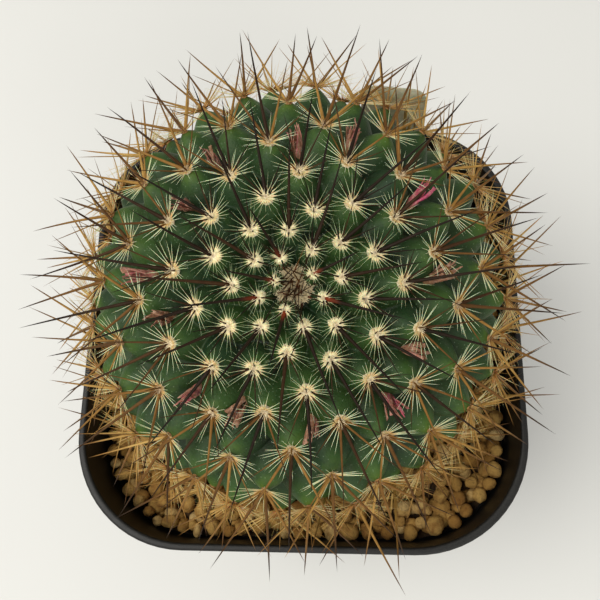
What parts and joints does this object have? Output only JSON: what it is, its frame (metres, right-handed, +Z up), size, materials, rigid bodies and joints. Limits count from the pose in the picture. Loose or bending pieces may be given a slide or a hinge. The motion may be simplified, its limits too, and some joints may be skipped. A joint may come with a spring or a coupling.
{
  "type": "potted round cactus",
  "caption": "Round spiny cactus with spiralled tubercles, dried flowers and a plant label, growing in granular mix in a tapered square nursery pot with rounded corners.",
  "frame": {"origin": "centre of the pot's underside, on the surface that it stands on", "axes": "+Z up out of the pot, +Y towards the plant label at the back, +X to the right of it; the crown leans towards -Y"},
  "size_m": [0.1079, 0.1042, 0.1337],
  "materials": {
    "pot": "satin",
    "granules": "matte",
    "cactus": "satin",
    "spines": "satin",
    "wool": "matte",
    "label": "satin",
    "dried_flower": "matte"
  },
  "bodies": {
    "root": {"pot": "pot", "substrate": "granules", "cactus": "cactus", "plant_label": "label", "dried_flower_01": "dried_flower", "dried_flower_02": "dried_flower", "dried_flower_03": "dried_flower", "dried_flower_04": "dried_flower", "dried_flower_05": "dried_flower", "dried_flower_06": "dried_flower", "dried_flower_07": "dried_flower", "dried_flower_08": "dried_flower", "dried_flower_09": "dried_flower", "dried_flower_10": "dried_flower", "dried_flower_11": "dried_flower", "dried_flower_12": "dried_flower", "dried_flower_13": "dried_flower"}
  },
  "joints": []
}
